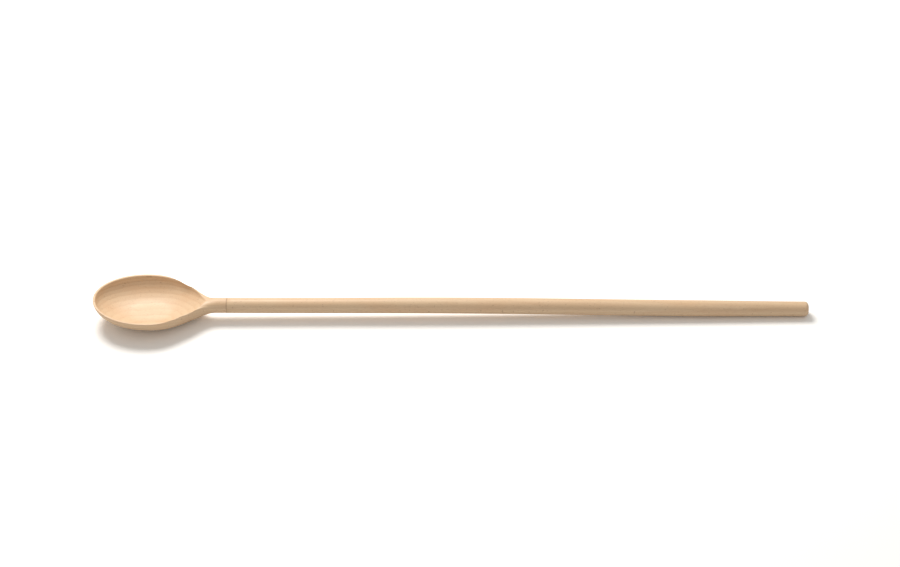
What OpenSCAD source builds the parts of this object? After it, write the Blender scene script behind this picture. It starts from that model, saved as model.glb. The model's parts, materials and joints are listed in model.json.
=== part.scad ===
// Long wooden stirring spoon, lying on a flat surface with its bowl towards -X.
// The head, with the bowl and a short neck, is glued to a turned handle by a spigot.
// Every place along the spoon is measured from the tip of the bowl, on the handle's axis.

/* [Overall] */
// Length from the tip of the bowl to the end of the handle
spoon_len = 500; // [420:5:650]

/* [Bowl] */
// Width of the bowl across the outside of its rim
bowl_w = 54.8; // [44:0.2:64]
// Distance from the tip to the widest place of the rim
widest_at = 37; // [28:0.2:44]
// Depth of the outside below the rim
hull_deep = 16.1; // [14:0.1:22]
// Distance from the tip to the deepest place of the outside
deepest_at = 43; // [34:1:54]
// Rise of the rim towards the tip, in degrees to the handle's axis
rim_pitch = 1.7; // [0:0.1:3]

/* [Hollow] */
// Width of the rim, which is the wall between the hollow and the outside
rim_wall = 1.8; // [1.2:0.1:3]
// Thickness of the wood under the deepest place of the hollow
floor_wall = 3.4; // [2.4:0.1:5]
// Distance from the tip to the deepest place of the hollow
hollow_deepest_at = 40; // [34:1:50]
// Solid wood between the hollow and the round neck
hollow_stop = 9.1; // [8.6:0.1:14]

/* [Neck] */
// Distance from the tip to the start of the round neck
neck_at = 87.6; // [82:0.2:100]
// Length of the round neck on the head
neck_len = 5.4; // [5:0.2:12]
// Diameter of the neck, and of the handle where it meets the neck
neck_d = 10.6; // [9.6:0.1:11]
// Length over which the bowl's section turns into the round neck
neck_blend = 15; // [10:1:22]
// Height of the rim above the handle's axis, where the round neck starts
rim_rise = 3.8; // [3.4:0.1:4.6]

/* [Handle] */
// Diameter of the stretch where the handle is thickest
grip_d = 11.3; // [11:0.1:13]
// Length of that stretch, which is a true cylinder
grip_len = 115; // [60:1:150]
// Length of the taper from that stretch to the end of the handle
tail_len = 85; // [40:1:120]
// Diameter of the end
end_d = 10.4; // [9.4:0.1:11]
// Radius of the rounded edge of the end
end_round = 2.5; // [0.5:0.1:4]

/* [Glued joint] */
// Diameter of the spigot on the handle
spigot_d = 6; // [5:0.1:6.6]
// Length of the spigot
spigot_len = 13; // [8:0.5:13.5]
// Bevel on the tip of the spigot
spigot_bevel = 0.6; // [0.3:0.1:1]
// Thickness of the film of glue around the spigot and at the shoulder
glue_gap = 0.1; // [0.05:0.05:0.2]
// Depth of the socket past the tip of the spigot
socket_spare = 0.7; // [0.3:0.1:1]

/* [Smoothness] */
// Sides of the rings that form the outside of the head, in fours
hull_sides = 40; // [32:4:48]
// Sides of the rings that form the hollow, in fours
hollow_sides = 28; // [24:4:32]
// Rings from the tip to the widest place
tip_rings = 12; // [10:1:16]
// Rings from the widest place to the neck
back_rings = 16; // [12:1:20]

/* [Hidden] */
$fn = 96;

BEECH = [0.87, 0.75, 0.60];
BEECH_HANDLE = [0.88, 0.76, 0.61];
GLUE = [0.52, 0.36, 0.22];

// Curve of the rim's outline from the widest place to the neck: how late it leaves, and how softly it arrives
OUTLINE_LEAVES = 2.6;
OUTLINE_ARRIVES = 3;
// Fullness of the outside's bottom line in front of its deepest place, and its curve behind it
KEEL_FULL = 2.8;
KEEL_BACK = [2.2, 1.2];
// Fullness of the outside's section: 2 is an ellipse, and more is squarer
SECTION_FULL = [2, 2.6];
// Curves of the hollow's outline and of its floor, behind their widest and deepest places
HOLLOW_OUTLINE = [2.2, 0.85];
HOLLOW_FLOOR = [2, 1.1];
// Fullness of the hollow's floor in front of its deepest place
HOLLOW_FULL = 2.6;
// How far the shape that cuts the hollow stands over the rim
CUT_OVER = 1.5;
SWELL_STEPS = 10;
TAIL_STEPS = 6;
ROUND_STEPS = 6;

neck_r = neck_d / 2;
grip_r = grip_d / 2;
end_r = end_d / 2;
spigot_r = spigot_d / 2;
socket_r = spigot_r + glue_gap;
joint_at = neck_at + neck_len;
shoulder_at = joint_at + glue_gap;
spigot_tip = joint_at - spigot_len;
socket_end = spigot_tip - socket_spare;
grip_to = spoon_len - tail_len;
grip_from = grip_to - grip_len;
round_at = spoon_len - end_round;
hollow_end = neck_at - hollow_stop;
hollow_w = bowl_w - 2 * rim_wall;
hollow_deep = hull_deep - floor_wall;
// Depth of the neck's underside below the level of the rim
neck_drop = rim_rise + neck_r;

function soft_step(t) = let (c = min(max(t, 0), 1)) c * c * (3 - 2 * c);
function mix(a, b, t) = a + (b - a) * t;
// A quarter of an oval: 0 at the end of the span, 1 at its start, and flat there
function quarter(t, full) = sqrt(max(0, 1 - pow(t, full)));
// A drop from 1 to 0 over t from 0 to 1
function fade(t, leaves, arrives) = pow(max(0, 1 - pow(t, leaves)), arrives);

// Height of the rim above the handle's axis
function rim_z(u) = rim_rise + max(0, neck_at - u) * tan(rim_pitch);

// Half the width of the rim's outline
function half_width(u) =
    u < widest_at
    ? bowl_w / 2 * quarter((widest_at - u) / widest_at, 2)
    : mix(neck_r, bowl_w / 2, fade((u - widest_at) / (neck_at - widest_at), OUTLINE_LEAVES, OUTLINE_ARRIVES));

// Depth of the outside's bottom line below the rim
function keel(u) =
    u < deepest_at
    ? hull_deep * quarter((deepest_at - u) / deepest_at, KEEL_FULL)
    : mix(neck_drop, hull_deep, fade((u - deepest_at) / (neck_at - deepest_at), KEEL_BACK[0], KEEL_BACK[1]));

// Half the width of the hollow
function hollow_half_width(u) =
    u < widest_at
    ? hollow_w / 2 * quarter((widest_at - u) / (widest_at - rim_wall), 2)
    : hollow_w / 2 * fade((u - widest_at) / (hollow_end - widest_at), HOLLOW_OUTLINE[0], HOLLOW_OUTLINE[1]);

// Depth of the hollow's floor below the rim
function hollow_floor(u) =
    u < hollow_deepest_at
    ? hollow_deep * quarter((hollow_deepest_at - u) / (hollow_deepest_at - rim_wall), HOLLOW_FULL)
    : hollow_deep * fade((u - hollow_deepest_at) / (hollow_end - hollow_deepest_at), HOLLOW_FLOOR[0], HOLLOW_FLOOR[1]);

// How far the bowl's section has turned into the neck's circle, from 0 to 1
function round_share(u) = soft_step((u - neck_at + neck_blend) / neck_blend);

// Fullness of the section, which grows from the widest place to the neck
function fullness(u) = mix(SECTION_FULL[0], SECTION_FULL[1], soft_step((u - widest_at) / (neck_at - widest_at)));
function oval(v, full) = sign(v) * pow(abs(v), 2 / full);

// A point of the outside at an angle around it: flat on top and an oval below, turning into the neck's circle
function hull_point(u, a) =
    let (y = half_width(u) * oval(cos(a), fullness(u)))
    let (z = rim_z(u) + keel(u) * min(0, oval(sin(a), fullness(u))))
    [u, mix(y, neck_r * cos(a), round_share(u)), mix(z, neck_r * sin(a), round_share(u))];
function hull_ring(u) = [for (i = [0 : hull_sides - 1]) hull_point(u, 360 * i / hull_sides)];

// One ring of the shape that cuts the hollow: an oval below, and straight up past the rim
function hollow_ring(u) = [
    for (i = [0 : hollow_sides - 1])
        let (a = 360 * i / hollow_sides)
        let (z = sin(a) < -0.01 ? hollow_floor(u) * sin(a) : CUT_OVER)
        [u, cos(a) * hollow_half_width(u), rim_z(u) + z]
];

// Places of the rings, close together where the outline turns quickly
hull_stations = [
    for (i = [1 : tip_rings]) widest_at * (1 - cos(90 * i / tip_rings)),
    for (i = [1 : back_rings]) mix(widest_at, neck_at, i / back_rings),
    joint_at
];
hollow_stations = [
    for (i = [1 : tip_rings]) mix(rim_wall, widest_at, 1 - cos(90 * i / tip_rings)),
    for (i = [1 : back_rings - 1]) mix(widest_at, hollow_end, sin(90 * i / back_rings))
];

// The lowest points of the head and of the handle's end both touch the surface that the spoon lies on
tilt = max([for (u = hull_stations) atan2(-hull_point(u, 270)[2] - end_r, round_at - u)]);
lift = round_at * sin(tilt) + end_r * cos(tilt);
front_x = rim_z(0) * sin(tilt);
back_x = spoon_len * cos(tilt) + (end_r - end_round) * sin(tilt);

// Lays the spoon on the surface, with the middle of its length over the origin
module lay_down() {
    translate([-(front_x + back_x) / 2, 0, lift])
        rotate([0, tilt, 0])
            children();
}

// A closed shape through rings of as many points each, between a first and a last point
module loft(rings, first, last) {
    n = len(rings[0]);
    m = len(rings);
    points = [first, for (ring = rings) each ring, last];
    front = [for (j = [0 : n - 1]) [0, 1 + j, 1 + (j + 1) % n]];
    sides = [
        for (i = [0 : m - 2], j = [0 : n - 1])
            let (a = 1 + i * n + j, b = 1 + i * n + (j + 1) % n)
            each [[a, a + n, b], [b, a + n, b + n]]
    ];
    back = [for (j = [0 : n - 1]) [m * n + 1, 1 + (m - 1) * n + (j + 1) % n, 1 + (m - 1) * n + j]];
    polyhedron(points, concat(front, sides, back), convexity = 6);
}

// A cylinder along the handle's axis
module rod(r, from, to) {
    translate([from, 0, 0])
        rotate([0, 90, 0])
            cylinder(r = r, h = to - from);
}

module head_outside() {
    loft([for (u = hull_stations) hull_ring(u)], [0, 0, rim_z(0)], [joint_at, 0, 0]);
}

module hollow_cut() {
    loft(
        [for (u = hollow_stations) hollow_ring(u)],
        [rim_wall, 0, rim_z(rim_wall) + CUT_OVER / 2],
        [hollow_end, 0, rim_z(hollow_end) + CUT_OVER / 2]
    );
}

module spoon_head() {
    color(BEECH)
        lay_down()
            difference() {
                head_outside();
                hollow_cut();
                rod(socket_r, socket_end, joint_at + 1);
            }
}

// The handle's side, from the tip of the spigot to the end, as radius and place
handle_side = [
    [0, spigot_tip],
    [spigot_r - spigot_bevel, spigot_tip],
    [spigot_r, spigot_tip + spigot_bevel],
    [spigot_r, shoulder_at],
    for (i = [0 : SWELL_STEPS])
        let (t = i / SWELL_STEPS) [mix(neck_r, grip_r, soft_step(t)), mix(shoulder_at, grip_from, t)],
    for (i = [0 : TAIL_STEPS])
        let (t = i / TAIL_STEPS) [mix(grip_r, end_r, soft_step(t)), mix(grip_to, round_at, t)],
    for (i = [1 : ROUND_STEPS])
        let (a = 90 * i / ROUND_STEPS) [end_r - end_round * (1 - cos(a)), round_at + end_round * sin(a)],
    [0, spoon_len]
];

module handle() {
    color(BEECH_HANDLE)
        lay_down()
            rotate([0, 90, 0])
                rotate_extrude()
                    polygon(handle_side);
}

// The film of glue: a sleeve around the spigot and a ring between the neck and the shoulder
module glue_line() {
    color(GLUE)
        lay_down()
            difference() {
                union() {
                    rod(socket_r, spigot_tip + spigot_bevel, joint_at);
                    rod(neck_r, joint_at, shoulder_at);
                }
                rod(spigot_r, spigot_tip, shoulder_at + 1);
            }
}

spoon_head();
handle();
glue_line();
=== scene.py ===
"""Dresses a long wooden stirring spoon: its head, its handle and the glue between them.

The head and the handle are modelled ring by ring in the spoon's own place: u runs along the handle's
axis from the tip of the bowl, y across the bowl, and z up from the axis. Each finished piece is then
laid down in the frame. All lengths are in metres.
"""

import bisect
import json
import logging
import math
from dataclasses import dataclass
from enum import Enum, IntEnum
from typing import Callable, Iterable, Sequence

import bmesh
import bpy
from mathutils import Matrix, Vector


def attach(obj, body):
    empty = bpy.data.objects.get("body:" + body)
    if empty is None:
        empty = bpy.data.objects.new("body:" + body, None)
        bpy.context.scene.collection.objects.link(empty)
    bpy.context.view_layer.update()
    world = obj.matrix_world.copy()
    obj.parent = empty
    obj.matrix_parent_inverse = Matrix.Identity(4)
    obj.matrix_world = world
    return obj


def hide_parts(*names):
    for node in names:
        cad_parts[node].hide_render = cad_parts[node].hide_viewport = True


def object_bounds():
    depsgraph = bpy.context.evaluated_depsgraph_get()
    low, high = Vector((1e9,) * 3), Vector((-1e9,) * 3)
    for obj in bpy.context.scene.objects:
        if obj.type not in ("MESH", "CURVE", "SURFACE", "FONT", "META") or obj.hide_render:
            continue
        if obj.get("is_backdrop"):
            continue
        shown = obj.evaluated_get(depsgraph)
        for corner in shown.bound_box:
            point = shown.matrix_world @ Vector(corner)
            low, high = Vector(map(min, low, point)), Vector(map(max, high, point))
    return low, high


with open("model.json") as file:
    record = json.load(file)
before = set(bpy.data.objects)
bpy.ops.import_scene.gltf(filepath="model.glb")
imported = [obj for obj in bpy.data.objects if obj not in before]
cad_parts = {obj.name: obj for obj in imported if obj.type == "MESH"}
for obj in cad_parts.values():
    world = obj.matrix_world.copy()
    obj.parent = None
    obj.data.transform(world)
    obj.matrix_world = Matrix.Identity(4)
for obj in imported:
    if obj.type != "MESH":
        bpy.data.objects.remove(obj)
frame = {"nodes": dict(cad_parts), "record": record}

logging.basicConfig(level=logging.INFO, format="%(message)s")
log = logging.getLogger("spoon")

MM = 0.001
Point = tuple[float, float, float]
Ring = list[Point]
Curve = Callable[[float, float], float]

# The head's pith, from the tip of the bowl, and a ring's edge, from the pith: both read from its rings
HEAD_PITH = Vector((0.0, 42 * MM, 126 * MM))
HEAD_RING_AT = 140.9 * MM

# The handle's pith, from the frame's origin
HANDLE_PITH: Point = (0.0, 0.055, -0.05)


class Slot(Enum):
    """The record's slot names for the head and the handle. Nothing in this script gives them to the pieces.
    """

    HEAD = "beech_head"
    HANDLE = "beech_handle"


class Line(IntEnum):
    """The edges of the wood that get rounded."""

    PLAIN = 0
    RIM = 1
    LIP = 2
    END = 3


def mix(a: float, b: float, t: float) -> float:
    """Returns the value that lies the share t of the way from a to b."""
    return a + (b - a) * t


def soft_step(t: float) -> float:
    """Returns a smooth rise from 0 to 1 as t goes from 0 to 1."""
    c = min(max(t, 0.0), 1.0)
    return c * c * (3 - 2 * c)


def quarter(t: float, full: float) -> float:
    """Returns a quarter of an oval: 1 and flat at t 0, and 0 at t 1."""
    return math.sqrt(max(0.0, 1 - t**full))


def fade(t: float, leaves: float, arrives: float) -> float:
    """Returns a drop from 1 to 0 over t from 0 to 1.

    Args:
        t: The share of the way.
        leaves: How late the drop starts.
        arrives: How softly it ends.

    Returns:
        What is left of the 1.
    """
    return max(0.0, 1 - max(0.0, t) ** leaves) ** arrives


def oval(v: float, full: float) -> float:
    """Returns a cosine or sine bent to an oval's fullness: 2 is an ellipse, and more is squarer."""
    return math.copysign(abs(v) ** (2 / full), v)


def points_along(path: Sequence[Point], shares: Sequence[float]) -> Ring:
    """Finds points at shares of a path's length.

    Args:
        path: The path's own points, close together.
        shares: The shares, from 0 to 1.

    Returns:
        One point for each share.
    """
    lengths = [0.0]
    for a, b in zip(path, path[1:]):
        lengths.append(lengths[-1] + math.dist(a, b))
    found: Ring = []
    for share in shares:
        goal = lengths[-1] * share
        k = min(max(bisect.bisect_left(lengths, goal), 1), len(path) - 1)
        t = (goal - lengths[k - 1]) / (lengths[k] - lengths[k - 1])
        found.append(tuple(mix(a, b, t) for a, b in zip(path[k - 1], path[k])))
    return found


def round_ring(u: float, radius: float, count: int) -> Ring:
    """Returns a circle of points round the handle's axis."""
    turns = [math.tau * j / count for j in range(count)]
    return [(u, radius * math.cos(turn), radius * math.sin(turn)) for turn in turns]


def shrunk(ring: Ring, centre: float, share: float, height: Curve) -> Ring:
    """Draws a ring towards a place on the spoon's middle line, and sets it on a surface.

    Args:
        ring: The ring.
        centre: The place on the middle line.
        share: The share of the ring's size that it keeps.
        height: The surface's z over a place u, y.

    Returns:
        The smaller ring.
    """
    places = [(mix(centre, u, share), y * share) for u, y, _ in ring]
    return [(u, y, height(u, y)) for u, y in places]


def deselect_all() -> None:
    """Leaves no object selected, so that an operator acts on nothing else."""
    bpy.ops.object.select_all(action="DESELECT")


class Blank:
    """A mesh that grows from one closed edge loop, as by hand: each loop is extruded and set in place."""

    def __init__(
        self, name: str, ring: Ring, line: Line = Line.PLAIN, on: Iterable[int] | None = None
    ) -> None:
        """Adds a circle of as many points as the ring has, and sets each in its place.

        Args:
            name: The piece's name.
            ring: The first loop's points.
            line: The edge that the loop lies on.
            on: Which of the points lie on that edge, or None for all.
        """
        deselect_all()
        bpy.ops.mesh.primitive_circle_add(vertices=len(ring), radius=MM, fill_type="NOTHING")
        self.piece: bpy.types.Object = bpy.context.active_object
        self.piece.name = self.piece.data.name = name
        marks = self.piece.data.attributes
        marks.new("place", "INT", "POINT").data.foreach_set("value", list(range(len(ring))))
        marks.new("line", "INT", "POINT")
        bpy.ops.object.mode_set(mode="EDIT")
        bpy.ops.mesh.select_mode(type="EDGE")
        bpy.ops.mesh.select_all(action="SELECT")
        self.settle(ring, line, on)

    def settle(self, ring: Ring, line: Line, on: Iterable[int] | None) -> None:
        """Moves the selected loop's points to the ring's, and marks those that lie on an edge.

        Args:
            ring: The points.
            line: The edge.
            on: Which of the points lie on that edge, or None for all.
        """
        mesh = bmesh.from_edit_mesh(self.piece.data)
        place, mark = mesh.verts.layers.int["place"], mesh.verts.layers.int["line"]
        marked = set(range(len(ring)) if on is None else on)
        for vert in mesh.verts:
            if vert.select:
                vert.co = ring[vert[place]]
                vert[mark] = line if vert[place] in marked else Line.PLAIN
        bmesh.update_edit_mesh(self.piece.data)

    def grow(self, ring: Ring, line: Line = Line.PLAIN, on: Iterable[int] | None = None) -> None:
        """Extrudes the selected loop and sets the new one in place.

        Args:
            ring: The new loop's points.
            line: The edge that the loop lies on.
            on: Which of the points lie on that edge, or None for all.
        """
        bpy.ops.mesh.extrude_region_move(TRANSFORM_OT_translate={"value": (0, 0, 0)})
        self.settle(ring, line, on)

    def close(self, height: Curve) -> None:
        """Fills the selected loop with a grid, and sets the grid's points on a surface.

        Args:
            height: The surface's z over a place u, y.
        """
        mesh = bmesh.from_edit_mesh(self.piece.data)
        before = set(mesh.verts)
        bpy.ops.mesh.fill_grid()
        mesh = bmesh.from_edit_mesh(self.piece.data)
        for vert in set(mesh.verts) - before:
            vert.co.z = height(vert.co.x, vert.co.y)
        bmesh.update_edit_mesh(self.piece.data)

    def face(self) -> None:
        """Closes the selected loop with one flat face."""
        bpy.ops.mesh.edge_face_add()

    def finish(self) -> bpy.types.Object:
        """Leaves edit mode and returns the piece."""
        bpy.ops.object.mode_set(mode="OBJECT")
        return self.piece


def weld(pieces: Sequence[bpy.types.Object], gap: float = 0.002 * MM) -> bpy.types.Object:
    """Joins pieces whose edges meet into one closed mesh.

    Args:
        pieces: The pieces. The first one keeps its name.
        gap: Points that are closer than this become one.

    Returns:
        The joined piece, with all its faces pointing outwards.
    """
    deselect_all()
    for piece in pieces:
        piece.select_set(True)
    bpy.context.view_layer.objects.active = pieces[0]
    if len(pieces) > 1:
        bpy.ops.object.join()
    bpy.ops.object.mode_set(mode="EDIT")
    bpy.ops.mesh.select_all(action="SELECT")
    bpy.ops.mesh.remove_doubles(threshold=gap)
    bpy.ops.mesh.select_all(action="SELECT")
    bpy.ops.mesh.normals_make_consistent(inside=False)
    bpy.ops.object.mode_set(mode="OBJECT")
    return pieces[0]


def close_opening(piece: bpy.types.Object) -> None:
    """Closes the one open loop of a piece with a flat face.

    Args:
        piece: The piece, in object mode.
    """
    bpy.context.view_layer.objects.active = piece
    bpy.ops.object.mode_set(mode="EDIT")
    bpy.ops.mesh.select_mode(type="EDGE")
    bpy.ops.mesh.select_all(action="DESELECT")
    bpy.ops.mesh.select_non_manifold()
    bpy.ops.mesh.edge_face_add()
    bpy.ops.mesh.select_all(action="SELECT")
    bpy.ops.mesh.normals_make_consistent(inside=False)
    bpy.ops.object.mode_set(mode="OBJECT")


def bevel_along(piece: bpy.types.Object, line: Line, width: float, steps: int) -> None:
    """Rounds the edges that run along a line on the piece.

    Args:
        piece: The piece, in object mode.
        line: The line. Both ends of an edge have to be marked with it.
        width: How far the rounding reaches from the edge.
        steps: How many faces the rounding has across it.
    """
    deselect_all()
    piece.select_set(True)
    bpy.context.view_layer.objects.active = piece
    bpy.ops.object.mode_set(mode="EDIT")
    bpy.ops.mesh.select_mode(type="EDGE")
    bpy.ops.mesh.select_all(action="DESELECT")
    mesh = bmesh.from_edit_mesh(piece.data)
    mark = mesh.verts.layers.int["line"]
    for edge in mesh.edges:
        edge.select_set(all(vert[mark] == line for vert in edge.verts))
    bmesh.update_edit_mesh(piece.data)
    bpy.ops.mesh.bevel(offset=width, segments=steps, profile=0.5, affect="EDGES")
    bpy.ops.object.mode_set(mode="OBJECT")


def subdivide_smoothly(piece: bpy.types.Object, levels: int) -> None:
    """Smooths a piece with a subdivision surface and applies it.

    Args:
        piece: The piece, in object mode.
        levels: How many times each face is split.
    """
    smooth = piece.modifiers.new("smooth", "SUBSURF")
    smooth.levels = levels
    smooth.render_levels = levels
    bpy.context.view_layer.objects.active = piece
    bpy.ops.object.modifier_apply(modifier=smooth.name)


@dataclass(frozen=True)
class Lay:
    """How the spoon lies in the frame: where its own axes start and which way they point."""

    start: Vector
    along: Vector
    length: float
    bow_from: float = 80 * MM
    bow_to: float = 440 * MM
    bow_rise: float = 1.2 * MM

    @classmethod
    def from_frame(cls, rim_at_tip: float) -> "Lay":
        """Reads the lay from the record's grip mount, which lies on the handle's axis.

        Args:
            rim_at_tip: Height of the rim above the axis at the tip of the bowl.

        Returns:
            The lay.
        """
        grip = frame["record"]["mounts"][0]
        along = Vector(grip["axis"]).normalized()
        on_axis = Vector(grip["pos_m"])
        low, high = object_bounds()
        start_x = low.x + along.z * rim_at_tip
        start = on_axis + along * ((start_x - on_axis.x) / along.x)
        return cls(start, along, (high.x - start_x) / along.x)

    def bow(self, u: float) -> float:
        """Finds how far the handle's middle bends up.

        Args:
            u: The place along the spoon.

        Returns:
            The rise.
        """
        if not self.bow_from < u < self.bow_to:
            return 0.0
        share = (u - self.bow_from) / (self.bow_to - self.bow_from)
        return self.bow_rise * math.sin(math.pi * share) ** 2

    def put(self, piece: bpy.types.Object) -> None:
        """Bends a piece along the handle's bow and lays it down in the frame.

        Args:
            piece: The piece, in the spoon's own place.
        """
        for vert in piece.data.vertices:
            vert.co.z += self.bow(vert.co.x)
        side = Vector((0, 1, 0))
        up = self.along.cross(side)
        turn = Matrix((self.along, side, up)).transposed().to_4x4()
        piece.matrix_world = Matrix.Translation(self.start) @ turn
        deselect_all()
        piece.select_set(True)
        bpy.context.view_layer.objects.active = piece
        bpy.ops.object.transform_apply(location=True, rotation=True, scale=True)
        bpy.ops.object.shade_smooth()


class NodeBench:
    """Adds and joins the nodes of one material."""

    def __init__(self, name: str) -> None:
        """Starts an empty material."""
        self.material: bpy.types.Material = bpy.data.materials.new(name)
        self.material.use_nodes = True
        self.tree = self.material.node_tree
        self.tree.nodes.clear()

    def add(self, kind: str, settings: dict | None = None, **inputs: object) -> bpy.types.Node:
        """Adds a node.

        Args:
            kind: Its type, without the ShaderNode in front.
            settings: Values of its properties.
            inputs: Values or outputs for its inputs. An underscore in a name stands for a space.

        Returns:
            The node.
        """
        node = self.tree.nodes.new("ShaderNode" + kind)
        for name, value in (settings or {}).items():
            setattr(node, name, value)
        for name, value in inputs.items():
            self.feed(node.inputs[name.replace("_", " ")], value)
        return node

    def feed(self, socket: bpy.types.NodeSocket, value: object) -> None:
        """Joins an output to a socket, or sets the socket's own value.

        Args:
            socket: The socket.
            value: The output or the value.
        """
        if isinstance(value, bpy.types.NodeSocket):
            self.tree.links.new(value, socket)
        else:
            socket.default_value = value

    def maths(self, operation: str, *values: object) -> bpy.types.NodeSocket:
        """Adds a sum.

        Args:
            operation: The kind of sum.
            values: One, two or three values or outputs.

        Returns:
            Its result.
        """
        node = self.add("Math", {"operation": operation})
        for socket, value in zip(node.inputs, values):
            self.feed(socket, value)
        return node.outputs[0]

    def noise(
        self, where: object, scale: float, detail: float = 2.0, rough: float = 0.5
    ) -> bpy.types.NodeSocket:
        """Returns a noise around 0.5 over a place, with features one scale-th of a metre across."""
        node = self.add("TexNoise", Vector=where, Scale=scale, Detail=detail, Roughness=rough)
        return node.outputs["Fac"]

    def ramp(self, value: object, stops: Sequence[tuple[float, float]]) -> bpy.types.NodeSocket:
        """Adds a curve.

        Args:
            value: What the curve is read at.
            stops: The places and levels that it goes through.

        Returns:
            The curve's level.
        """
        node = self.add("ValToRGB", Fac=value)
        points = node.color_ramp.elements
        while len(points) < len(stops):
            points.new(1.0)
        for point, (place, level) in zip(points, stops):
            point.position = place
            point.color = (level, level, level, 1)
        return node.outputs["Color"]

    def mix_colour(self, share: object, a: object, b: object) -> bpy.types.NodeSocket:
        """Adds a mix of two colours.

        Args:
            share: How far the result lies from the first to the second.
            a: The first colour.
            b: The second colour.

        Returns:
            The mixed colour.
        """
        node = self.add("Mix", {"data_type": "RGBA"})
        self.feed(node.inputs[0], share)
        self.feed(node.inputs[6], a)
        self.feed(node.inputs[7], b)
        return node.outputs[2]


@dataclass(frozen=True)
class BeechFinish:
    """Bare sanded beech: growth rings round a far pith, ray flecks, fine pores and slow changes of tone."""

    name: str
    pith: Point
    seed: float
    early: Point = (0.80, 0.575, 0.365)
    late: Point = (0.70, 0.475, 0.285)
    warm: Point = (0.76, 0.47, 0.265)
    fleck: Point = (0.42, 0.235, 0.125)
    stain: Point = (0.50, 0.31, 0.18)
    ring_width: float = 2.1 * MM
    ring_at: float = 0.0
    ring_wander: float = 2.6 * MM
    ring_ripple: float = 0.9 * MM
    joint_x: float = 0.0
    stain_reach: float = 0.9 * MM
    stain_share: float = 0.4
    relief: float = 0.05 * MM
    gloss: float = 0.46

    def build(self) -> bpy.types.Material:
        """Builds the material on Object coordinates.

        Returns:
            The material.
        """
        bench = NodeBench(self.name)
        place = bench.add("TexCoord").outputs["Object"]
        mapping = bench.add("Mapping", {"vector_type": "TEXTURE"}, Vector=place, Location=self.pith)
        log_place = mapping.outputs[0]
        parts = bench.add("SeparateXYZ", Vector=log_place).outputs
        across = bench.add("CombineXYZ", X=0.0, Y=parts["Y"], Z=parts["Z"]).outputs[0]
        radius = bench.add("VectorMath", {"operation": "LENGTH"}, Vector=across).outputs["Value"]
        rings = self.rings(bench, log_place, radius)
        tone = self.tone(bench, log_place)
        flecks = self.flecks(bench, log_place)
        pores = self.pores(bench, log_place)
        colour = bench.mix_colour(rings, (*self.early, 1), (*self.late, 1))
        colour = bench.mix_colour(tone, colour, (*self.warm, 1))
        colour = bench.mix_colour(flecks, colour, (*self.fleck, 1))
        colour = bench.mix_colour(pores, colour, (*self.fleck, 1))
        colour = bench.mix_colour(self.glue_stain(bench, place), colour, (*self.stain, 1))
        pits = bench.maths("MULTIPLY", pores, -0.6)
        height = bench.maths("ADD", pits, bench.maths("MULTIPLY", rings, -0.25))
        bump = bench.add("Bump", Strength=0.25, Distance=self.relief, Height=height)
        rough = bench.maths("ADD", bench.maths("MULTIPLY", rings, 0.06), self.gloss)
        shader = bench.add(
            "BsdfPrincipled",
            Base_Color=colour,
            Roughness=rough,
            Normal=bump.outputs[0],
            Specular_IOR_Level=0.5,
        )
        bench.add("OutputMaterial", Surface=shader.outputs[0])
        return bench.material

    def stretched(
        self, bench: NodeBench, log_place: object, shares: Point
    ) -> bpy.types.NodeSocket:
        """Scales each direction in the log, so that a noise stretches.

        Args:
            bench: The material's bench.
            log_place: The place in the log.
            shares: The scale in each direction.

        Returns:
            The scaled place.
        """
        shift = (self.seed, self.seed * 0.7, self.seed * 1.3)
        return bench.add("Mapping", Vector=log_place, Scale=shares, Location=shift).outputs[0]

    def rings(self, bench: NodeBench, log_place: object, radius: object) -> bpy.types.NodeSocket:
        """Draws the growth rings: pale early wood that darkens to the late wood at each ring's edge.

        Args:
            bench: The material's bench.
            log_place: The place in the log.
            radius: The distance from the pith.

        Returns:
            The share of late wood.
        """
        wander = bench.noise(self.stretched(bench, log_place, (0.25, 1, 1)), 60.0, 2.0)
        ripple = bench.noise(self.stretched(bench, log_place, (0.3, 1, 1)), 420.0, 2.0)
        shift = bench.maths("MULTIPLY", bench.maths("SUBTRACT", wander, 0.5), self.ring_wander)
        shake = bench.maths("MULTIPLY", bench.maths("SUBTRACT", ripple, 0.5), self.ring_ripple)
        moved = bench.maths("ADD", bench.maths("ADD", radius, shift), shake)
        count = bench.maths("DIVIDE", bench.maths("SUBTRACT", moved, self.ring_at), self.ring_width)
        share = bench.maths("FRACT", count)
        line = bench.ramp(share, [(0.0, 0.0), (0.25, 0.08), (0.6, 0.5), (0.86, 1.0), (1.0, 0.0)])
        whole = bench.maths("FLOOR", count)
        year = bench.add("TexWhiteNoise", {"noise_dimensions": "1D"}, W=whole).outputs["Value"]
        strength = bench.maths("ADD", bench.maths("MULTIPLY", year, 0.5), 0.5)
        return bench.maths("MULTIPLY", line, strength)

    def tone(self, bench: NodeBench, log_place: object) -> bpy.types.NodeSocket:
        """Returns slow changes of tone, long along the grain."""
        slow = bench.noise(self.stretched(bench, log_place, (0.22, 1, 1)), 110.0, 3.0, 0.55)
        return bench.ramp(slow, [(0.42, 0.0), (0.75, 0.55)])

    def flecks(self, bench: NodeBench, log_place: object) -> bpy.types.NodeSocket:
        """Returns the ray flecks: thin, short along the grain and deep towards the pith."""
        fleck = bench.noise(self.stretched(bench, log_place, (0.36, 1.0, 0.16)), 1500.0, 1.0)
        return bench.ramp(fleck, [(0.66, 0.0), (0.74, 0.42)])

    def pores(self, bench: NodeBench, log_place: object) -> bpy.types.NodeSocket:
        """Returns the fine pores, as short dark lines along the grain."""
        pore = bench.noise(self.stretched(bench, log_place, (0.1, 1.0, 1.0)), 4200.0, 1.0)
        return bench.ramp(pore, [(0.55, 0.0), (0.7, 0.22)])

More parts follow.
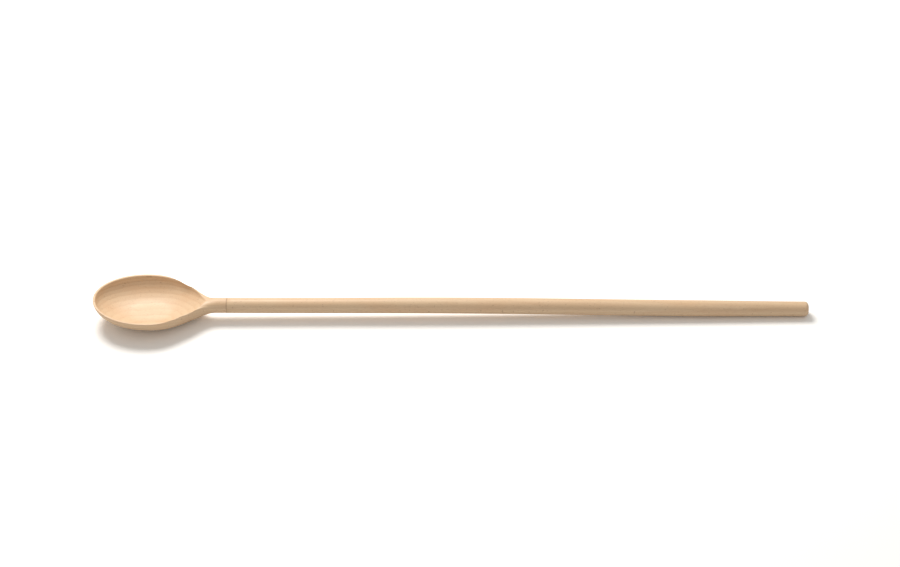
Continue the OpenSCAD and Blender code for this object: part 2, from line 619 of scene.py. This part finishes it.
    def glue_stain(self, bench: NodeBench, place: object) -> bpy.types.NodeSocket:
        """Draws the faint dark band that the glue leaves in the wood beside the joint.

        Args:
            bench: The material's bench.
            place: The place in the frame.

        Returns:
            The share of stain.
        """
        x = bench.add("SeparateXYZ", Vector=place).outputs["X"]
        away = bench.maths("ABSOLUTE", bench.maths("SUBTRACT", x, self.joint_x))
        near = bench.maths("SUBTRACT", 1.0, bench.maths("DIVIDE", away, self.stain_reach))
        return bench.maths("MULTIPLY", bench.maths("MAXIMUM", near, 0.0), self.stain_share)


@dataclass(frozen=True)
class GlueFinish:
    """Dried wood glue, sanded flush: a darker brown with a mottle."""

    name: str = "dried_glue"
    pale: Point = (0.36, 0.21, 0.11)
    dark: Point = (0.20, 0.105, 0.05)

    def build(self) -> bpy.types.Material:
        """Builds the material.

        Returns:
            The material.
        """
        bench = NodeBench(self.name)
        place = bench.add("TexCoord").outputs["Object"]
        mottle = bench.noise(place, 900.0, 3.0)
        colour = bench.mix_colour(mottle, (*self.pale, 1), (*self.dark, 1))
        bump = bench.add("Bump", Strength=0.2, Distance=0.03 * MM, Height=mottle)
        shader = bench.add(
            "BsdfPrincipled",
            Base_Color=colour,
            Roughness=0.4,
            Normal=bump.outputs[0],
        )
        bench.add("OutputMaterial", Surface=shader.outputs[0])
        return bench.material


@dataclass
class Head:
    """The carved head: an oval bowl with its hollow, and a short round neck with a blind socket."""

    bowl_width: float = 54.8 * MM
    widest_at: float = 37 * MM
    hull_deep: float = 16.1 * MM
    deepest_at: float = 43 * MM
    rim_pitch: float = math.radians(1.7)
    rim_wall: float = 1.8 * MM
    floor_wall: float = 3.4 * MM
    hollow_deepest_at: float = 40 * MM
    hollow_stop: float = 9.1 * MM
    neck_at: float = 87.6 * MM
    neck_length: float = 5.4 * MM
    neck_radius: float = 5.3 * MM
    neck_blend: float = 15 * MM
    rim_rise: float = 3.8 * MM
    socket_radius: float = 3.1 * MM
    socket_end: float = 79.3 * MM
    outline_curve: tuple[float, float] = (2.6, 3.0)
    keel_full: float = 2.8
    keel_back: tuple[float, float] = (2.2, 1.2)
    section_full: tuple[float, float] = (2.0, 2.6)
    hollow_outline: tuple[float, float] = (2.2, 0.85)
    hollow_floor_curve: tuple[float, float] = (2.0, 1.1)
    hollow_full: float = 2.6
    throat_at: float = 83.5 * MM
    rim_round: float = 0.55 * MM
    lip_round: float = 0.6 * MM
    half_ring: int = 16
    rim_points: int = 88
    throat_share: float = 0.03
    outline_steps: int = 240
    neck_rings: tuple[float, ...] = (0.12 * MM, 0.9 * MM, 2.4 * MM, 4.2 * MM, 6 * MM)
    blend_ring_at: float = 86 * MM
    end_edge: float = 0.15 * MM
    socket_edge: float = 0.2 * MM
    hollow_rings: tuple[float, ...] = (0.965, 0.91, 0.83, 0.73, 0.62, 0.5, 0.38)
    hull_rings: tuple[float, ...] = (0.985, 0.95, 0.89, 0.81, 0.71, 0.6, 0.49, 0.38)
    round_steps: int = 3
    smooth_levels: int = 2

    @property
    def joint_at(self) -> float:
        """The place of the neck's end face."""
        return self.neck_at + self.neck_length

    @property
    def hollow_end(self) -> float:
        """The place where the hollow runs out towards the neck."""
        return self.neck_at - self.hollow_stop

    def rim_height(self, u: float) -> float:
        """Returns the rim's height above the handle's axis."""
        return self.rim_rise + max(0.0, self.neck_at - u) * math.tan(self.rim_pitch)

    def half_width(self, u: float) -> float:
        """Finds half the width of the rim's outline.

        Args:
            u: The place along the spoon.

        Returns:
            Half the width.
        """
        if u < self.widest_at:
            return self.bowl_width / 2 * quarter((self.widest_at - u) / self.widest_at, 2)
        back = (u - self.widest_at) / (self.neck_at - self.widest_at)
        return mix(self.neck_radius, self.bowl_width / 2, fade(back, *self.outline_curve))

    def keel(self, u: float) -> float:
        """Finds the depth of the outside's bottom line below the rim.

        Args:
            u: The place along the spoon.

        Returns:
            The depth.
        """
        if u < self.deepest_at:
            return self.hull_deep * quarter((self.deepest_at - u) / self.deepest_at, self.keel_full)
        back = (u - self.deepest_at) / (self.neck_at - self.deepest_at)
        return mix(self.rim_rise + self.neck_radius, self.hull_deep, fade(back, *self.keel_back))

    def hollow_half_width(self, u: float) -> float:
        """Finds half the width of the hollow at its edge.

        Args:
            u: The place along the spoon.

        Returns:
            Half the width.
        """
        half = self.bowl_width / 2 - self.rim_wall
        if u < self.widest_at:
            return half * quarter((self.widest_at - u) / (self.widest_at - self.rim_wall), 2)
        back = (u - self.widest_at) / (self.hollow_end - self.widest_at)
        return half * fade(back, *self.hollow_outline)

    def hollow_floor(self, u: float) -> float:
        """Finds the depth of the hollow's middle line below the rim.

        Args:
            u: The place along the spoon.

        Returns:
            The depth.
        """
        deep = self.hull_deep - self.floor_wall
        if u < self.hollow_deepest_at:
            front = (self.hollow_deepest_at - u) / (self.hollow_deepest_at - self.rim_wall)
            return deep * quarter(front, self.hollow_full)
        back = (u - self.hollow_deepest_at) / (self.hollow_end - self.hollow_deepest_at)
        return deep * fade(back, *self.hollow_floor_curve)

    def round_share(self, u: float) -> float:
        """Returns how far the bowl's section has turned into the neck's circle."""
        return soft_step((u - self.neck_at + self.neck_blend) / self.neck_blend)

    def section(self, u: float, angle: float) -> Point:
        """Finds a point of the outside.

        Args:
            u: The place along the spoon.
            angle: The angle round it, in radians from +Y.

        Returns:
            The point.
        """
        along = (u - self.widest_at) / (self.neck_at - self.widest_at)
        full = mix(*self.section_full, soft_step(along))
        c, s = math.cos(angle), math.sin(angle)
        y = self.half_width(u) * oval(c, full)
        z = self.rim_height(u) + self.keel(u) * min(0.0, oval(s, full))
        share = self.round_share(u)
        return u, mix(y, self.neck_radius * c, share), mix(z, self.neck_radius * s, share)

    def height_over(self, u: float, y: float, side: int) -> float:
        """Finds the outside's height at a place.

        Args:
            u: The place along the spoon.
            y: The place across it.
            side: 1 for the upper side, and -1 for the lower one.

        Returns:
            The height above the handle's axis.
        """
        low, high = 0.0, math.pi
        for _ in range(32):
            middle = (low + high) / 2
            if self.section(u, side * middle)[1] > y:
                low = middle
            else:
                high = middle
        return self.section(u, side * low)[2]

    def top(self, u: float, y: float) -> float:
        """Finds the height of the upper side, with the hollow cut into it.

        Args:
            u: The place along the spoon.
            y: The place across it.

        Returns:
            The height above the handle's axis.
        """
        height = self.height_over(u, y, 1)
        half = self.hollow_half_width(u) if self.rim_wall < u < self.hollow_end else 0.0
        if abs(y) >= half:
            return height
        return height - self.hollow_floor(u) * math.sqrt(1 - (y / half) ** 2)

    def underside(self, u: float, y: float) -> float:
        """Returns the height of the lower side."""
        return self.height_over(u, y, -1)

    def rim_line(self) -> Ring:
        """Draws the rim's outer edge.

        Returns:
            Its points, from the throat's +Y side round the tip to its -Y side.
        """
        steps = self.outline_steps
        places = [mix(self.throat_at, self.widest_at, i / steps) for i in range(steps)]
        places += [self.widest_at * (1 - math.sin(math.pi / 2 * i / steps)) for i in range(steps + 1)]
        side = [self.section(u, 0.0) for u in places]
        return side + [(u, -y, z) for u, y, z in reversed(side[:-1])]

    def lip_line(self) -> Ring:
        """Draws the hollow's edge.

        Returns:
            Its points, from its end at the neck along +Y round the tip and back.
        """
        steps = self.outline_steps
        turns = [math.pi / 2 * i / steps for i in range(steps + 1)]
        places = [mix(self.hollow_end, self.widest_at, 1 - math.cos(turn)) for turn in turns[:-1]]
        places += [mix(self.widest_at, self.rim_wall, math.sin(turn)) for turn in turns]
        side = [(u, self.hollow_half_width(u)) for u in places]
        line = side + [(u, -y) for u, y in reversed(side[:-1])]
        return [(u, y, self.height_over(u, y, 1)) for u, y in line]

    def throat(self, side: int) -> Ring:
        """Returns the points between the rim's two edges across the neck, from -Y to +Y."""
        angles = [math.pi * (1 - j / self.half_ring) for j in range(1, self.half_ring)]
        return [self.section(self.throat_at, side * angle) for angle in angles]

    def neck_ring(self, u: float) -> Ring:
        """Returns a ring round the neck."""
        count = 2 * self.half_ring
        return [self.section(u, math.tau * j / count) for j in range(count)]

    def model_neck(self) -> bpy.types.Object:
        """Models the round neck, from its end face to the throat.

        Returns:
            The open mesh.
        """
        sides = (0, self.half_ring)
        neck = Blank("spoon_head_neck", self.neck_ring(self.joint_at))
        for back in self.neck_rings:
            neck.grow(self.neck_ring(self.joint_at - back))
        neck.grow(self.neck_ring(self.blend_ring_at), Line.RIM, sides)
        neck.grow(self.neck_ring(self.throat_at), Line.RIM, sides)
        return neck.finish()

    def model_socket(self) -> bpy.types.Object:
        """Models the neck's end face and the blind socket in it.

        Returns:
            The open mesh.
        """
        radius, edge = self.socket_radius, self.socket_edge
        profile = (
            (self.joint_at, self.neck_radius - self.end_edge),
            (self.joint_at, radius + edge),
            (self.joint_at, radius),
            (self.joint_at - edge, radius),
            (self.socket_end + edge, radius),
            (self.socket_end, radius),
            (self.socket_end, radius - edge),
        )
        count = 2 * self.half_ring
        end = Blank("spoon_head_socket", round_ring(self.joint_at, self.neck_radius, count))
        for place, reach in profile:
            end.grow(round_ring(place, reach, count))
        end.face()
        return end.finish()

    def model_hollow(self) -> bpy.types.Object:
        """Models the upper side: the rim, the hollow and the top of the throat.

        Returns:
            The open mesh.
        """
        count = self.rim_points
        rim = points_along(self.rim_line(), [k / count for k in range(count + 1)]) + self.throat(1)
        share = self.throat_share
        lip_shares = [share + (1 - 2 * share) * k / count for k in range(count + 1)]
        lip_shares += [
            (1 - share + 2 * share * j / self.half_ring) % 1 for j in range(1, self.half_ring)
        ]
        lip = points_along(self.lip_line(), lip_shares)
        halfway = [(mix(a[0], b[0], 0.5), mix(a[1], b[1], 0.5)) for a, b in zip(rim, lip)]
        upper = Blank("spoon_head_hollow", rim, Line.RIM, range(count + 1))
        upper.grow([(u, y, self.height_over(u, y, 1)) for u, y in halfway])
        upper.grow(lip, Line.LIP)
        for share in self.hollow_rings:
            upper.grow(shrunk(lip, self.hollow_deepest_at, share, self.top))
        upper.close(self.top)
        return upper.finish()

    def model_hull(self) -> bpy.types.Object:
        """Models the underside of the bowl and of the throat.

        Returns:
            The open mesh.
        """
        count = self.rim_points
        rim = points_along(self.rim_line(), [k / count for k in range(count + 1)]) + self.throat(-1)
        lower = Blank("spoon_head_hull", rim, Line.RIM, range(count + 1))
        for share in self.hull_rings:
            lower.grow(shrunk(rim, self.deepest_at, share, self.underside))
        lower.close(self.underside)
        return lower.finish()

    def build(self, lay: Lay, finish: BeechFinish) -> bpy.types.Object:
        """Models the head, lays it down and dresses it.

        Args:
            lay: How the spoon lies.
            finish: The head's beech.

        Returns:
            The piece.
        """
        parts = [self.model_neck(), self.model_socket(), self.model_hollow(), self.model_hull()]
        piece = weld(parts)
        piece.name = piece.data.name = "beech_spoon_head"
        bevel_along(piece, Line.RIM, self.rim_round, self.round_steps)
        bevel_along(piece, Line.LIP, self.lip_round, self.round_steps)
        subdivide_smoothly(piece, self.smooth_levels)
        lay.put(piece)
        piece.data.materials.append(finish.build())
        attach(piece, "root")
        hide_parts("spoon_head")
        return piece


@dataclass
class Handle:
    """The turned handle: a spigot for the head, a slow swell, and a tail with a rounded end."""

    shoulder_at: float = 93.1 * MM
    neck_radius: float = 5.3 * MM
    grip_radius: float = 5.65 * MM
    grip_from: float = 300 * MM
    grip_to: float = 415 * MM
    end_radius: float = 5.2 * MM
    end_round: float = 2.5 * MM
    spigot_radius: float = 3 * MM
    spigot_tip: float = 80 * MM
    spigot_bevel: float = 0.6 * MM
    shoulder_edge: float = 0.12 * MM
    round_spare: float = 0.02 * MM
    round_steps: int = 8
    sides: int = 64
    rings: int = 80

    def radius(self, u: float, length: float) -> float:
        """Finds the handle's radius past its shoulder.

        Args:
            u: The place along the spoon.
            length: The spoon's length.

        Returns:
            The radius.
        """
        if u < self.grip_from:
            swell = soft_step((u - self.shoulder_at) / (self.grip_from - self.shoulder_at))
            return mix(self.neck_radius, self.grip_radius, swell)
        fall = soft_step((u - self.grip_to) / (length - self.end_round - self.grip_to))
        return mix(self.grip_radius, self.end_radius, fall)

    def build(self, lay: Lay, finish: BeechFinish) -> bpy.types.Object:
        """Models the handle, lays it down along its bow and dresses it.

        Args:
            lay: How the spoon lies.
            finish: The handle's beech.

        Returns:
            The piece.
        """
        tip_radius = self.spigot_radius - self.spigot_bevel
        first = self.shoulder_at + self.shoulder_edge
        last = lay.length - self.end_round
        profile = [
            (self.spigot_tip + self.spigot_bevel, self.spigot_radius),
            (self.shoulder_at, self.spigot_radius),
            (self.shoulder_at, self.neck_radius - self.shoulder_edge),
            (first, self.neck_radius),
        ]
        places = [mix(first, last, i / self.rings) for i in range(1, self.rings + 1)]
        profile += [(u, self.radius(u, lay.length)) for u in places]
        rod = Blank("beech_spoon_handle", round_ring(self.spigot_tip, tip_radius, self.sides))
        for place, reach in profile:
            rod.grow(round_ring(place, reach, self.sides))
        rod.grow(round_ring(lay.length, self.end_radius, self.sides), Line.END)
        rod.face()
        piece = weld([rod.finish()])
        close_opening(piece)
        bevel_along(piece, Line.END, self.end_round - self.round_spare, self.round_steps)
        lay.put(piece)
        piece.data.materials.append(finish.build())
        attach(piece, "root")
        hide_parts("handle")
        return piece


@dataclass
class GlueLine:
    """The film of dried glue in the joint, whose CAD node keeps its shape."""

    node: str = "glue_line"

    def build(self, finish: GlueFinish) -> bpy.types.Object:
        """Dresses the film of glue.

        Args:
            finish: The glue's finish.

        Returns:
            The node's object.
        """
        film = frame["nodes"][self.node]
        film.data.materials.clear()
        film.data.materials.append(finish.build())
        return film


@dataclass(frozen=True)
class PaperFinish:
    """The floor: matt white paper, which the camera sees a little brighter than the lamps do."""

    name: str = "white_paper"
    paper: Point = (0.82, 0.82, 0.82)
    seen: Point = (1.2, 1.2 * 0.99, 1.2 * 0.97)

    def build(self) -> bpy.types.Material:
        """Builds the material.

        Returns:
            The material.
        """
        bench = NodeBench(self.name)
        seen = bench.add("LightPath").outputs["Is Camera Ray"]
        plain = bench.add("BsdfDiffuse", Color=(*self.paper, 1))
        bright = bench.add("BsdfDiffuse", Color=(*self.seen, 1))
        both = bench.add("MixShader")
        bench.feed(both.inputs[0], seen)
        bench.feed(both.inputs[1], plain.outputs[0])
        bench.feed(both.inputs[2], bright.outputs[0])
        bench.add("OutputMaterial", Surface=both.outputs[0])
        return bench.material


@dataclass(frozen=True)
class SoftLamp:
    """An oval soft lamp over the floor, aimed at a place."""

    name: str
    place: Point
    aim: Point
    size: tuple[float, float]
    power: float
    colour: Point

    def build(self) -> bpy.types.Object:
        """Adds the lamp.

        Returns:
            The lamp.
        """
        deselect_all()
        bpy.ops.object.light_add(type="AREA", location=self.place)
        lamp = bpy.context.active_object
        lamp.name = self.name
        lamp.data.shape = "ELLIPSE"
        lamp.data.size, lamp.data.size_y = self.size
        lamp.data.energy = self.power
        lamp.data.color = self.colour
        way = Vector(self.aim) - Vector(self.place)
        lamp.rotation_euler = way.to_track_quat("-Z", "Y").to_euler()
        return lamp


@dataclass
class Studio:
    """The floor, the lamps, the sky and the camera."""

    floor_size: float = 8.0
    sky_strength: float = 0.45
    sky_light: Point = (1.0, 0.99, 0.97)
    sky_seen: Point = (0.93, 0.93, 0.93 * 0.98)
    camera_height: float = math.radians(40)
    camera_turn: float = math.radians(-0.34)
    camera_distance: float = 1.4
    camera_aim: tuple[float, float] = (-1.155 * MM, 35.393 * MM)
    focal_pixels: float = 1954.3
    image_width: int = 900
    sensor_width: float = 36.0
    view_limit: float = 20.0
    lamps: tuple[SoftLamp, ...] = (
        SoftLamp(
            name="key_lamp",
            place=(-0.35, 0.62, 0.95),
            aim=(0.0, 0.0, 0.0),
            size=(0.7, 0.6),
            power=13.0,
            colour=(1.0, 0.985, 0.96),
        ),
    )

    def build(self) -> None:
        """Sets up the whole studio."""
        self.add_floor()
        self.add_sky()
        for lamp in self.lamps:
            lamp.build()
        self.add_camera()

    def add_floor(self) -> None:
        """Lays the floor, on which the spoon lies."""
        deselect_all()
        bpy.ops.mesh.primitive_plane_add(size=self.floor_size)
        floor = bpy.context.active_object
        floor.name = "studio_floor"
        floor.data.materials.append(PaperFinish().build())
        floor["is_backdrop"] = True

    def add_sky(self) -> None:
        """Gives the even light from all round, and the pale colour that the camera sees there."""
        world = bpy.data.worlds.new("studio_sky")
        bpy.context.scene.world = world
        world.use_nodes = True
        tree = world.node_tree
        tree.nodes.clear()
        path = tree.nodes.new("ShaderNodeLightPath")
        light = tree.nodes.new("ShaderNodeBackground")
        light.inputs["Strength"].default_value = self.sky_strength
        light.inputs["Color"].default_value = (*self.sky_light, 1)
        seen = tree.nodes.new("ShaderNodeBackground")
        seen.inputs["Color"].default_value = (*self.sky_seen, 1)
        both = tree.nodes.new("ShaderNodeMixShader")
        output = tree.nodes.new("ShaderNodeOutputWorld")
        tree.links.new(path.outputs["Is Camera Ray"], both.inputs[0])
        tree.links.new(light.outputs[0], both.inputs[1])
        tree.links.new(seen.outputs[0], both.inputs[2])
        tree.links.new(both.outputs[0], output.inputs["Surface"])

    def add_camera(self) -> None:
        """Stands the camera at the photograph's angle."""
        turn = Matrix.Rotation(self.camera_turn, 3, "Z")
        aim = Vector((*self.camera_aim, 0.0))
        back = Vector((0.0, -math.cos(self.camera_height), math.sin(self.camera_height)))
        place = turn @ (aim + back * self.camera_distance)
        deselect_all()
        bpy.ops.object.camera_add(location=place)
        camera = bpy.context.active_object
        camera.name = "studio_camera"
        camera.rotation_euler = (turn @ -back).to_track_quat("-Z", "Y").to_euler()
        camera.data.sensor_width = self.sensor_width
        camera.data.lens = self.sensor_width * self.focal_pixels / self.image_width
        camera.data.clip_end = self.view_limit
        bpy.context.scene.camera = camera


def main() -> None:
    """Builds the studio and dresses the spoon, piece by piece."""
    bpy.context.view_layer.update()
    bpy.context.scene.view_settings.view_transform = "Standard"
    Studio().build()
    head = Head()
    lay = Lay.from_frame(head.rim_height(0.0))
    joint_x = (lay.start + lay.along * head.joint_at).x
    head_beech = BeechFinish(
        "head_beech", tuple(lay.start + HEAD_PITH), 0.31, ring_at=HEAD_RING_AT, joint_x=joint_x
    )
    handle_beech = BeechFinish("handle_beech", HANDLE_PITH, 0.77, joint_x=joint_x)
    pieces = [
        head.build(lay, head_beech),
        GlueLine().build(GlueFinish()),
        Handle().build(lay, handle_beech),
    ]
    for piece in pieces:
        log.info("%s: %d faces", piece.name, len(piece.data.polygons))


if __name__ == "__main__":
    main()
